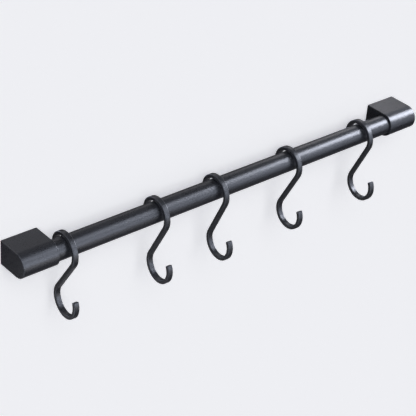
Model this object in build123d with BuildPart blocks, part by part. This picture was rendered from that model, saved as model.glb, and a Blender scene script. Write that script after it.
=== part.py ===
from build123d import *
import os
from math import acos, atan2, cos, degrees, hypot, radians, sin

# Kitchen utensil rail: a round tube held off the wall by two D-shaped brackets, with five S hooks.
# Origin: on the wall plane, half way along the rail, at the height of the tube's axis.
# +X runs along the rail to the right, -Y comes out of the wall to the front, +Z is up.
# Lengths are in millimetres and angles in degrees.

# Tube
rail_span = 327.0  # tube between the two brackets
tube_diameter = 16.0
tube_wall = 1.2

# Brackets
bracket_length = 29.0  # along the rail
bracket_depth = 28.2  # from the wall to the front of the round
bracket_wall = 1.55  # metal around the tube's socket
bracket_edge_radius = 0.45
socket_clearance = 0.15  # on the radius
socket_floor = 5.0  # metal between the tube's end and the bracket's outer face
socket_chamfer = 0.3
tube_end_gap = 0.3

# Concealed fixing at the back of each bracket
pocket_side_wall = 2.1
pocket_top_wall = 2.2
pocket_bottom_wall = 3.2  # thicker, because it holds the set screw's thread
pocket_corner_radius = 1.2
pocket_head_room = 0.6  # space in front of the plate for the screw heads
plate_clearance = 0.15
plate_thickness = 5.0
wall_hole_diameter = 4.5
wall_hole_head_diameter = 8.6
wall_hole_spacing = 13.0
set_screw_diameter = 4.0
set_screw_clearance = 0.05
set_screw_from_wall = 2.5
set_screw_recess = 0.3
set_screw_key = 2.0  # across the flats of its hexagon
set_screw_key_depth = 1.8
groove_depth = 1.2

# Hooks, each bent from one bar of rectangular section
hook_height = 68.3
bar_width = 4.2  # along the rail
bar_thickness = 3.1  # in the plane of the bend
bar_edge_radius = 0.6
bar_end_chamfer = 0.25
loop_play = 3.15  # how much the loop's inner radius is larger than the tube's
loop_rest_gap = 0.3
loop_end_angle = 27.0  # how far the free end comes round below level, behind the tube
bend_inner_radius = 10.75
bend_forward = 7.9  # how far the lower bend's centre is in front of the loop's centre
tip_angle = 32.0  # how far the tip comes up above level

# Each hook as it hangs: its share of the way from mid-rail to a bracket (negative to the left), its swing
# towards the wall and its turn about the vertical
hook_places = [
    (-0.9333, 7.0, -3.0),
    (-0.4440, 1.0, -2.5),
    (-0.1015, -2.5, -2.5),
    (0.3541, 0.5, -2.5),
    (0.8355, -2.0, -2.5),
]

# Sizes that follow from the ones above
tube_radius = tube_diameter / 2
socket_radius = tube_radius + socket_clearance
bracket_half_height = socket_radius + bracket_wall
tube_axis_y = bracket_half_height - bracket_depth
socket_depth = bracket_length - socket_floor
tube_length = rail_span + 2 * (socket_depth - tube_end_gap)
bracket_centre = rail_span / 2 + bracket_length / 2

pocket_length = bracket_length - 2 * pocket_side_wall
pocket_low = pocket_bottom_wall - bracket_half_height
pocket_high = bracket_half_height - pocket_top_wall
pocket_depth = plate_thickness + pocket_head_room
plate_length = pocket_length - 2 * plate_clearance
plate_low = pocket_low + plate_clearance
plate_high = pocket_high - plate_clearance
set_screw_radius = set_screw_diameter / 2
set_screw_base = -bracket_half_height + set_screw_recess
set_screw_tip = plate_low + groove_depth - plate_clearance

loop_inner_radius = tube_radius + loop_play
loop_radius = loop_inner_radius + bar_thickness / 2
bend_radius = bend_inner_radius + bar_thickness / 2
loop_centre_z = tube_radius + loop_rest_gap - loop_inner_radius
loop_to_bend = hook_height - loop_radius - bend_radius - bar_thickness


def label_and_export(builder, name):
    """Names one finished piece and writes it as a STEP file."""
    builder.part.label = name
    export_step(builder.part, f"parts/{name}.step")


def build_tube():
    """The tube reaches into the sockets of both brackets."""
    with BuildPart() as tube:
        with BuildSketch(Plane.YZ):
            with Locations((tube_axis_y, 0)):
                Circle(tube_radius)
                Circle(tube_radius - tube_wall, mode=Mode.SUBTRACT)
        extrude(amount=tube_length / 2, both=True)
    return tube


def build_bracket(side):
    """A D-shaped block with a blind socket for the tube and a pocket for the wall plate. side is -1 or 1."""
    inner_plane = Plane.YZ.offset(side * rail_span / 2)
    centre_x = side * bracket_centre
    with BuildPart() as bracket:
        with BuildSketch(inner_plane):
            with BuildLine():
                Line((0, -bracket_half_height), (0, bracket_half_height))
                Line((0, bracket_half_height), (tube_axis_y, bracket_half_height))
                front = CenterArc((tube_axis_y, 0), bracket_half_height, 90, 180)
                Line(front @ 1, (0, -bracket_half_height))
            make_face()
        extrude(amount=side * bracket_length)

        # Every edge of the outline is eased at both ends, apart from the one against the wall
        for end in (0, -1):
            outline = bracket.faces().sort_by(Axis.X)[end].outer_wire().edges()
            fillet(outline.sort_by(Axis.Y)[:-1], bracket_edge_radius)

        with BuildSketch(inner_plane):
            with Locations((tube_axis_y, 0)):
                Circle(socket_radius)
        extrude(amount=side * socket_depth, mode=Mode.SUBTRACT)
        mouth = bracket.faces().sort_by(Axis.X)[0 if side > 0 else -1].inner_wires()[0].edges()
        chamfer(mouth, socket_chamfer)

        with BuildSketch(Plane.XZ):
            with Locations((centre_x, (pocket_low + pocket_high) / 2)):
                RectangleRounded(pocket_length, pocket_high - pocket_low, pocket_corner_radius)
        extrude(amount=pocket_depth, mode=Mode.SUBTRACT)

        with BuildSketch(Plane.XY.offset(-bracket_half_height)):
            with Locations((centre_x, -set_screw_from_wall)):
                Circle(set_screw_radius + set_screw_clearance)
        extrude(amount=pocket_bottom_wall, mode=Mode.SUBTRACT)
    return bracket


def build_wall_plate(side):
    """The plate that is screwed to the wall, with a groove below for the set screw's point."""
    centre_x = side * bracket_centre
    with BuildPart() as plate:
        with BuildSketch(Plane.XZ):
            with Locations((centre_x, (plate_low + plate_high) / 2)):
                RectangleRounded(plate_length, plate_high - plate_low, pocket_corner_radius)
        extrude(amount=plate_thickness)
        with Locations(Plane.XZ.offset(plate_thickness)):
            with Locations(
                (centre_x - wall_hole_spacing / 2, 0),
                (centre_x + wall_hole_spacing / 2, 0),
            ):
                CounterSinkHole(wall_hole_diameter / 2, wall_hole_head_diameter / 2, plate_thickness)
        with BuildSketch(Plane.YZ.offset(centre_x)):
            with BuildLine():
                Polyline(
                    (-set_screw_from_wall - groove_depth, plate_low),
                    (-set_screw_from_wall, plate_low + groove_depth),
                    (-set_screw_from_wall + groove_depth, plate_low),
                    close=True,
                )
            make_face()
        extrude(amount=plate_length / 2, both=True, mode=Mode.SUBTRACT)
    return plate


def build_set_screw(side):
    """A socket set screw with a cone point, driven up through the bracket's underside."""
    centre_x = side * bracket_centre
    with BuildPart() as screw:
        with BuildSketch(Plane.XZ.offset(set_screw_from_wall)):
            with BuildLine():
                Polyline(
                    (centre_x, set_screw_base),
                    (centre_x + set_screw_radius, set_screw_base),
                    (centre_x + set_screw_radius, set_screw_tip - set_screw_radius),
                    (centre_x, set_screw_tip),
                    close=True,
                )
            make_face()
        revolve(axis=Axis((centre_x, -set_screw_from_wall, 0), (0, 0, 1)))
        with BuildSketch(Plane.XY.offset(set_screw_base)):
            with Locations((centre_x, -set_screw_from_wall)):
                RegularPolygon(set_screw_key / 2, 6, major_radius=False)
        extrude(amount=set_screw_key_depth, mode=Mode.SUBTRACT)
    return screw


def hook_plane(x, swing, turn):
    """The plane of a hook's bend: its x runs back to the wall, its y up, and its origin is the loop's centre."""
    s = radians(swing)
    t = radians(turn)
    back = Vector(-sin(t) * cos(s), cos(t) * cos(s), sin(s))
    across = Vector(cos(t), sin(t), 0)
    return Plane(origin=(x, tube_axis_y, loop_centre_z), x_dir=back, z_dir=across)


def build_hook(share, swing, turn):
    """A loop over the tube, a straight shank and an upturned bend, swept in one piece."""
    plane = hook_plane(share * rail_span / 2, swing, turn)
    bend_centre = (-bend_forward, -loop_to_bend)
    # The shank is the straight line that touches the front of the loop and the back of the bend
    between = hypot(bend_forward, loop_to_bend)
    downwards = degrees(atan2(-loop_to_bend, -bend_forward))
    touch = downwards - degrees(acos((loop_radius + bend_radius) / between)) + 360
    bend_start = touch - 180
    with BuildPart() as hook:
        with BuildLine(plane) as centreline:
            loop = CenterArc((0, 0), loop_radius, -loop_end_angle, touch + loop_end_angle)
            bend = CenterArc(bend_centre, bend_radius, bend_start, -(bend_start + 180 + tip_angle))
            Line(loop @ 1, bend @ 0)
        with BuildSketch(Plane(origin=loop @ 0, x_dir=plane.z_dir, z_dir=loop % 0)):
            RectangleRounded(bar_width, bar_thickness, bar_edge_radius)
        sweep(path=centreline.wires()[0])
        for end in (loop @ 0, bend @ 1):
            cut_face = hook.faces().sort_by_distance(end)[0]
            chamfer(cut_face.edges(), bar_end_chamfer)
    return hook


def main():
    """Builds every piece in its place and writes the STEP files."""
    os.makedirs("parts", exist_ok=True)
    label_and_export(build_tube(), "rail_tube")
    for side, name in ((-1, "left"), (1, "right")):
        label_and_export(build_bracket(side), f"{name}_bracket")
        label_and_export(build_wall_plate(side), f"{name}_wall_plate")
        label_and_export(build_set_screw(side), f"{name}_set_screw")
    for number, place in enumerate(hook_places, start=1):
        label_and_export(build_hook(*place), f"hook_{number}")


main()
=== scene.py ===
"""Looks of the kitchen utensil rail: satin black metal on a pale wall, seen from above and from the left.

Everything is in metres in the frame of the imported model: x along the rail, -y out of the wall, z up.
"""

import math

import bpy
from mathutils import Matrix, Vector


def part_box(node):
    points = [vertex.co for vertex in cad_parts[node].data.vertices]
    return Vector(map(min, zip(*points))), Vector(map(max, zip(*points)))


ALONG = Vector((1.0, 0.0, 0.0))  # the rail's direction
UPWARDS = Vector((0.0, 0.0, 1.0))

# Camera: fitted to the outlines of tube, brackets and hooks in the photograph
CAMERA_PLACE = (-0.6002, -0.6364, 0.5186)
CAMERA_YAW = 43.053  # degrees to the right of straight at the wall
CAMERA_PITCH = 32.244  # degrees downwards
CAMERA_ROLL = 5.002  # degrees, its right side up
CAMERA_LENS = 116.31  # mm
CAMERA_SENSOR = 36.0  # mm
CAMERA_NEAR = 0.01
CAMERA_FAR = 50.0

# Black coat, on tube, brackets and hooks
COAT_COLOUR = (0.007, 0.0071, 0.0078)
COAT_ROUGHNESS = 0.30
COAT_IOR = 1.5
# Its noises: scale per metre, detail, roughness
COAT_GRAIN = (5200.0, 3.0, 0.6)  # fine texture, about 0.2 mm
COAT_WAVES = (1250.0, 2.5, 0.6)  # waviness, under 1 mm
COAT_CLOUD = (70.0, 3.0, 0.5)  # slow change over the surface, about 15 mm
TUBE_LINES = (1.0, 3.0, 0.6)  # drawing lines, 40 mm long and 0.4 mm wide: their scale is in the stretch
TUBE_LINES_STRETCH = (25.0, 2600.0, 2600.0)
# What the noises do
WAVE_SHADES = (0.5, 1.5)  # the colour is multiplied by these
CLOUD_SHADES = (0.85, 1.15)
WAVE_ROUGHNESS = 0.1  # more and less than the coat's roughness
CLOUD_ROUGHNESS = 0.03
LINE_ROUGHNESS = 0.03
WAVE_HEIGHT = 0.00008
WAVE_STRENGTH = 1.0
GRAIN_HEIGHT = 0.00001
GRAIN_STRENGTH = 0.5

# Bare metals: colour, roughness, crystal patches per metre
ZINC = ((0.36, 0.36, 0.35), 0.42, 420.0)
DARK_STEEL = ((0.07, 0.07, 0.075), 0.4, 900.0)
PATCH_SHADES = (0.85, 1.1)
PATCH_ROUGHNESS = 0.06  # more and less than the metal's roughness
METAL_GRAIN = (3500.0, 3.0, 0.6)
METAL_GRAIN_SHADES = (0.85, 1.15)
METAL_GRAIN_HEIGHT = 0.00004
METAL_GRAIN_STRENGTH = 0.15

# Stage
WALL_GAP = 0.0006  # between the brackets' backs and the wall
WALL_HEIGHT = 3.0  # above the tube's axis
STAGE_REACH = 6.0  # to the left, right, front and back
FLOOR_DROP = 0.5  # floor below the tube's axis
FLOOR_STEP = 0.0005  # how much lower the floor behind the wall is
SWEEP_RADIUS = 0.12  # of the curve from wall to floor
SWEEP_STEPS = 16
STAGE_TONE = (0.8395, 0.8475, 0.8815)  # lamp light and glow together, where no shadow falls
STAGE_ALBEDO = 0.8

# World
WORLD_TINT = (1.0, 0.93, 0.97)
WORLD_RADIANCE = 0.02
WORLD_TONE = (0.855, 0.863, 0.896)  # what the camera sees past the stage

# Lamps that light the wall and the floor alone and draw the soft shadow there: name, the direction in which
# the light travels, how wide the lamp looks in degrees, power
STAGE_LAMPS = [
    ("shadow_lamp", (0.298, 0.789, -0.537), 50.0, 1.46),
    ("side_shadow_lamp", (-0.287, 0.958, 0.0), 80.0, 0.225),
]

# Softboxes, each parallel to the rail and turned to it: name, place along the rail, angle about the rail
# from straight out of the wall upwards, width along the rail, height, radiance, tint
SOFTBOX_DISTANCE = 0.7
COOL = (0.765, 0.83, 1.0)
PALE_COOL = (0.83, 0.87, 1.0)
NEUTRAL = (0.93, 0.93, 1.0)
SOFTBOXES = [
    ("key", 1.6, 62.0, 1.4, 0.6, 28.0, PALE_COOL),
    ("key_edge", 0.8, 58.0, 0.2, 0.4, 26.0, PALE_COOL),
    ("key_fade", 0.6, 58.0, 0.2, 0.4, 5.0, COOL),
    ("high_left", 0.25, 56.0, 0.4, 0.4, 2.3, COOL),
    ("fill_high", 0.15, 34.0, 0.3, 0.4, 3.5, COOL),
    ("fill_middle", 0.15, 5.0, 0.3, 0.35, 5.6, COOL),
    ("fill_low", 0.15, -20.0, 0.3, 0.3, 2.2, NEUTRAL),
    ("fill_lowest", 0.3, -45.0, 0.5, 0.3, 0.4, NEUTRAL),
    ("right_high", 0.65, 22.0, 0.5, 0.5, 3.6, COOL),
    ("right_low", 0.65, -12.0, 0.5, 0.4, 1.5, COOL),
    ("below", 0.3, -85.0, 1.2, 0.5, 0.12, NEUTRAL),
    ("back", 0.3, 150.0, 0.9, 0.4, 0.65, NEUTRAL),
    ("back_middle", 0.75, 140.0, 0.2, 0.4, 2.4, NEUTRAL),
    ("back_right", 1.45, 155.0, 0.8, 0.45, 2.5, NEUTRAL),
    ("back_high", 0.95, 112.0, 0.3, 0.35, 1.8, COOL),
    ("top_left_back", 0.2, 110.0, 0.4, 0.3, 0.35, NEUTRAL),
    ("low_left", -0.75, -110.0, 0.5, 0.7, 0.75, NEUTRAL),
    ("under_middle", 0.0, -120.0, 1.0, 0.4, 0.35, NEUTRAL),
    # These hardly reach the photograph's camera: they show the rail from its other sides
    ("front_left", -0.35, 25.0, 0.3, 0.8, 2.0, COOL),
    ("over_left", -0.4, 100.0, 0.6, 0.4, 2.5, COOL),
    ("end_left", -2.4, 10.0, 0.8, 1.2, 8.0, COOL),
    ("end_left_low", -2.0, -60.0, 0.8, 0.8, 2.0, COOL),
    ("under_left", -0.9, -80.0, 0.6, 0.4, 1.5, COOL),
    ("side_left", -0.9, 30.0, 0.8, 0.9, 5.0, COOL),
    ("side_left_low", -0.9, -42.0, 0.8, 1.0, 3.0, COOL),
    ("top_left", -0.7, 75.0, 0.8, 0.5, 2.5, COOL),
    ("side_right", 2.6, 20.0, 0.8, 1.2, 6.0, COOL),
    ("side_right_low", 1.6, -30.0, 0.8, 0.6, 1.5, COOL),
    ("behind", -0.3, 180.0, 0.8, 0.4, 2.5, COOL),
    ("behind_left", -0.7, 150.0, 0.8, 0.5, 2.0, NEUTRAL),
    ("behind_right_low", 1.1, -145.0, 0.8, 0.5, 1.5, COOL),
]
# The right bracket's inner face is nearly black in the photograph, so two softboxes leave that bracket out
SPARED_NODE = "right_bracket"
SPARING_SOFTBOXES = ("low_left", "behind")


def aim_camera():
    """A camera at the photograph's place and angle."""
    yaw = math.radians(CAMERA_YAW)
    pitch = math.radians(CAMERA_PITCH)
    roll = math.radians(CAMERA_ROLL)
    forward = Vector((math.sin(yaw) * math.cos(pitch), math.cos(yaw) * math.cos(pitch), -math.sin(pitch)))
    right_level = forward.cross(UPWARDS).normalized()
    up_level = right_level.cross(forward)
    right = math.cos(roll) * right_level + math.sin(roll) * up_level
    up = -math.sin(roll) * right_level + math.cos(roll) * up_level
    turn = Matrix((right, up, -forward)).transposed().to_4x4()

    data = bpy.data.cameras.new("photo_camera")
    data.sensor_width = CAMERA_SENSOR
    data.lens = CAMERA_LENS
    data.clip_start = CAMERA_NEAR
    data.clip_end = CAMERA_FAR
    camera = bpy.data.objects.new("photo_camera", data)
    bpy.context.scene.collection.objects.link(camera)
    camera.matrix_world = Matrix.Translation(CAMERA_PLACE) @ turn
    bpy.context.scene.camera = camera


class Tree:
    """A short way to write a material's or the world's nodes."""

    def __init__(self, owner):
        owner.use_nodes = True
        self.tree = owner.node_tree
        self.tree.nodes.clear()

    def add(self, kind, inputs=None, **settings):
        """Adds a node. inputs gives some of its sockets a value each, or another node's socket to link."""
        node = self.tree.nodes.new(kind)
        for name, value in settings.items():
            setattr(node, name, value)
        for name, value in (inputs or {}).items():
            socket = node.inputs[name]
            if isinstance(value, bpy.types.NodeSocket):
                self.tree.links.new(value, socket)
            else:
                socket.default_value = value
        return node

    def math(self, operation, first, second):
        """The result of a sum or product of two values."""
        return self.add("ShaderNodeMath", {0: first, 1: second}, operation=operation).outputs[0]

    def spread(self, value, low, high):
        """Maps a value from 0..1 to low..high."""
        node = self.add("ShaderNodeMapRange", {"Value": value, "To Min": low, "To Max": high})
        return node.outputs["Result"]

    def noise(self, vector, scale, detail, roughness):
        """A noise from 0 to 1."""
        node = self.add(
            "ShaderNodeTexNoise",
            {"Vector": vector, "Scale": scale, "Detail": detail, "Roughness": roughness},
        )
        return node.outputs["Fac"]

    def shaded(self, colour, shade):
        """A fixed colour times a value that changes over the surface."""
        channels = {
            name: self.math("MULTIPLY", shade, value)
            for name, value in zip(("Red", "Green", "Blue"), colour)
        }
        return self.add("ShaderNodeCombineColor", channels).outputs["Color"]


def satin_black(name, drawn=False):
    """Black coated metal: soft waviness, grain and faint mottling, and faint lines along a drawn tube."""
    material = bpy.data.materials.new(name)
    t = Tree(material)
    place = t.add("ShaderNodeTexCoord").outputs["Object"]
    fine = t.noise(place, *COAT_GRAIN)
    waves = t.noise(place, *COAT_WAVES)
    cloud = t.noise(place, *COAT_CLOUD)

    shade = t.math("MULTIPLY", t.spread(waves, *WAVE_SHADES), t.spread(cloud, *CLOUD_SHADES))
    rough = t.math(
        "ADD",
        t.spread(cloud, -CLOUD_ROUGHNESS, CLOUD_ROUGHNESS),
        t.spread(waves, COAT_ROUGHNESS - WAVE_ROUGHNESS, COAT_ROUGHNESS + WAVE_ROUGHNESS),
    )
    if drawn:
        stretch = t.add("ShaderNodeMapping", {"Vector": place, "Scale": TUBE_LINES_STRETCH})
        lines = t.noise(stretch.outputs["Vector"], *TUBE_LINES)
        fine = t.math("ADD", fine, lines)
        rough = t.math("ADD", rough, t.spread(lines, -LINE_ROUGHNESS, LINE_ROUGHNESS))

    wavy = t.add("ShaderNodeBump", {"Height": waves, "Strength": WAVE_STRENGTH, "Distance": WAVE_HEIGHT})
    bump = t.add(
        "ShaderNodeBump",
        {
            "Height": fine,
            "Strength": GRAIN_STRENGTH,
            "Distance": GRAIN_HEIGHT,
            "Normal": wavy.outputs["Normal"],
        },
    )
    shader = t.add(
        "ShaderNodeBsdfPrincipled",
        {
            "Base Color": t.shaded(COAT_COLOUR, shade),
            "Roughness": rough,
            "IOR": COAT_IOR,
            "Normal": bump.outputs["Normal"],
        },
    )
    t.add("ShaderNodeOutputMaterial", {"Surface": shader.outputs["BSDF"]})
    return material


def bare_metal(name, colour, roughness, patch_scale):
    """Plated or blackened steel with faint crystal patches and a fine grain."""
    material = bpy.data.materials.new(name)
    t = Tree(material)
    place = t.add("ShaderNodeTexCoord").outputs["Object"]
    patches = t.add("ShaderNodeTexVoronoi", {"Vector": place, "Scale": patch_scale})
    tone = t.add("ShaderNodeSeparateColor", {"Color": patches.outputs["Color"]}).outputs["Red"]
    grain = t.noise(place, *METAL_GRAIN)

    shade = t.math("MULTIPLY", t.spread(tone, *PATCH_SHADES), t.spread(grain, *METAL_GRAIN_SHADES))
    bump = t.add(
        "ShaderNodeBump",
        {"Height": grain, "Strength": METAL_GRAIN_STRENGTH, "Distance": METAL_GRAIN_HEIGHT},
    )
    shader = t.add(
        "ShaderNodeBsdfPrincipled",
        {
            "Base Color": t.shaded(colour, shade),
            "Metallic": 1.0,
            "Roughness": t.spread(tone, roughness - PATCH_ROUGHNESS, roughness + PATCH_ROUGHNESS),
            "Normal": bump.outputs["Normal"],
        },
    )
    t.add("ShaderNodeOutputMaterial", {"Surface": shader.outputs["BSDF"]})
    return material


def dress(nodes):
    """Gives every node of the CAD model the finish of its kind, which is part of the node's name."""
    finishes = {
        "tube": satin_black("black_tube", drawn=True),
        "bracket": satin_black("black_bracket"),
        "hook": satin_black("black_hook"),
        "wall_plate": bare_metal("zinc_plate", *ZINC),
        "set_screw": bare_metal("dark_screw", *DARK_STEEL),
    }
    for name, node in nodes.items():
        kind = next(kind for kind in finishes if kind in name)
        for slot in node.material_slots:
            slot.material = finishes[kind]
        node.visible_diffuse = False  # the rail throws no light back on the wall


def stage_material():
    """A pale matt ground that shows only from its front side, so that it never hides the back of the rail.

    Its own glow makes up for the angles of the stage lamps, so that wall, curve and floor are equally pale.
    """
    material = bpy.data.materials.new("pale_stage")
    t = Tree(material)
    surface = t.add("ShaderNodeNewGeometry")
    to_lamps = Vector()
    for _, travel, _, power in STAGE_LAMPS:
        to_lamps -= STAGE_ALBEDO / math.pi * power * Vector(travel)
    lit = t.add(
        "ShaderNodeVectorMath",
        {0: surface.outputs["Normal"], 1: to_lamps},
        operation="DOT_PRODUCT",
    ).outputs["Value"]
    missing = t.add("ShaderNodeVectorMath", {0: STAGE_TONE, 1: lit}, operation="SUBTRACT").outputs["Vector"]

    matt = t.add("ShaderNodeBsdfDiffuse", {"Color": (STAGE_ALBEDO, STAGE_ALBEDO, STAGE_ALBEDO, 1.0)})
    glow = t.add("ShaderNodeEmission", {"Color": missing, "Strength": 1.0})
    ground = t.add("ShaderNodeAddShader", {0: matt.outputs[0], 1: glow.outputs[0]})
    clear = t.add("ShaderNodeBsdfTransparent")
    behind = surface.outputs["Backfacing"]
    mix = t.add("ShaderNodeMixShader", {0: behind, 1: ground.outputs[0], 2: clear.outputs[0]})
    t.add("ShaderNodeOutputMaterial", {"Surface": mix.outputs[0]})
    return material


def build_ground(name, profile, material):
    """A sheet that follows profile, a line of (y, z) points, over the whole width of the stage."""
    vertices = [(x, y, z) for x in (-STAGE_REACH, STAGE_REACH) for y, z in profile]
    count = len(profile)
    faces = [(i, i + 1, count + i + 1, count + i) for i in range(count - 1)]
    mesh = bpy.data.meshes.new(name)
    mesh.from_pydata(vertices, [], faces)
    mesh.shade_smooth()
    mesh.materials.append(material)
    ground = bpy.data.objects.new(name, mesh)
    bpy.context.scene.collection.objects.link(ground)
    ground.visible_diffuse = False
    ground.visible_glossy = False
    ground.visible_transmission = False
    ground.visible_shadow = False
    return ground


def build_stage():
    """A wall that runs down in a soft curve to a floor, and the floor behind it, for views from the back."""
    material = stage_material()
    centre_y = WALL_GAP - SWEEP_RADIUS
    centre_z = SWEEP_RADIUS - FLOOR_DROP
    angles = [math.pi / 2 * i / SWEEP_STEPS for i in range(SWEEP_STEPS + 1)]
    curve = [
        (centre_y + SWEEP_RADIUS * math.cos(a), centre_z - SWEEP_RADIUS * math.sin(a)) for a in angles
    ]
    profile = [(WALL_GAP, WALL_HEIGHT), *curve, (-STAGE_REACH, -FLOOR_DROP)]
    floor_z = -FLOOR_DROP - FLOOR_STEP
    return [
        build_ground("wall_and_floor", profile, material),
        build_ground("floor_behind", [(STAGE_REACH, floor_z), (centre_y, floor_z)], material),
    ]


def add_lamp(name, data, lit):
    """A lamp that no camera sees and that lights the objects in lit alone."""
    lamp = bpy.data.objects.new(name, data)
    bpy.context.scene.collection.objects.link(lamp)
    lamp.visible_camera = False
    group = bpy.data.collections.new(f"lit_by_{name}")
    for receiver in lit:
        group.objects.link(receiver)
    lamp.light_linking.receiver_collection = group
    return lamp


def light_object(nodes):
    """Soft studio light on the rail: a long bright softbox off to the right, and weaker ones all round."""
    low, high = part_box("rail_tube")
    tube_centre = (low + high) / 2
    for name, place, angle, width, height, radiance, tint in SOFTBOXES:
        data = bpy.data.lights.new(name, "AREA")
        data.shape = "RECTANGLE"
        data.size = width
        data.size_y = height
        data.energy = radiance * math.pi * width * height
        data.color = tint
        spared = SPARED_NODE if name in SPARING_SOFTBOXES else None
        lamp = add_lamp(name, data, [node for key, node in nodes.items() if key != spared])
        a = math.radians(angle)
        out = Vector((0.0, -math.cos(a), math.sin(a)))
        turn = Matrix((ALONG, out.cross(ALONG), out)).transposed().to_4x4()
        lamp.matrix_world = Matrix.Translation(tube_centre + place * ALONG + SOFTBOX_DISTANCE * out) @ turn


def light_stage(grounds):
    """The lamps that light the wall and the floor alone."""
    for name, travel, angle, power in STAGE_LAMPS:
        data = bpy.data.lights.new(name, "SUN")
        data.angle = math.radians(angle)
        data.energy = power
        # The ground's own rays pass through the rail, so the lamps' light is found by shadow rays alone
        data.cycles.use_multiple_importance_sampling = False
        lamp = add_lamp(name, data, grounds)
        lamp.rotation_mode = "QUATERNION"
        lamp.rotation_quaternion = Vector(travel).to_track_quat("-Z", "Y")


def fill_world():
    """A dim even world. What the camera sees of it past the stage is as pale as the stage."""
    world = bpy.data.worlds.new("studio")
    bpy.context.scene.world = world
    t = Tree(world)
    dim = t.add("ShaderNodeBackground", {"Color": (*WORLD_TINT, 1.0), "Strength": WORLD_RADIANCE})
    pale = t.add("ShaderNodeBackground", {"Color": (*WORLD_TONE, 1.0), "Strength": 1.0})
    seen = t.add("ShaderNodeLightPath").outputs["Is Camera Ray"]
    mix = t.add("ShaderNodeMixShader", {0: seen, 1: dim.outputs[0], 2: pale.outputs[0]})
    t.add("ShaderNodeOutputWorld", {"Surface": mix.outputs[0]})


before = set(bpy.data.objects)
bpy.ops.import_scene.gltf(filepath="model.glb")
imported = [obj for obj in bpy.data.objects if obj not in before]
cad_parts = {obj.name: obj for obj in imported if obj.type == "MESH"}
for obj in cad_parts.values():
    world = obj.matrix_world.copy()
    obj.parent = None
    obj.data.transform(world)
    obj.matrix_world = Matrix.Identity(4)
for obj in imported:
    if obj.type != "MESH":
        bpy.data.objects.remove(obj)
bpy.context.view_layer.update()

dress(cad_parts)
light_object(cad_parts)
light_stage(build_stage())
fill_world()
aim_camera()
bpy.context.scene.view_settings.view_transform = "Standard"
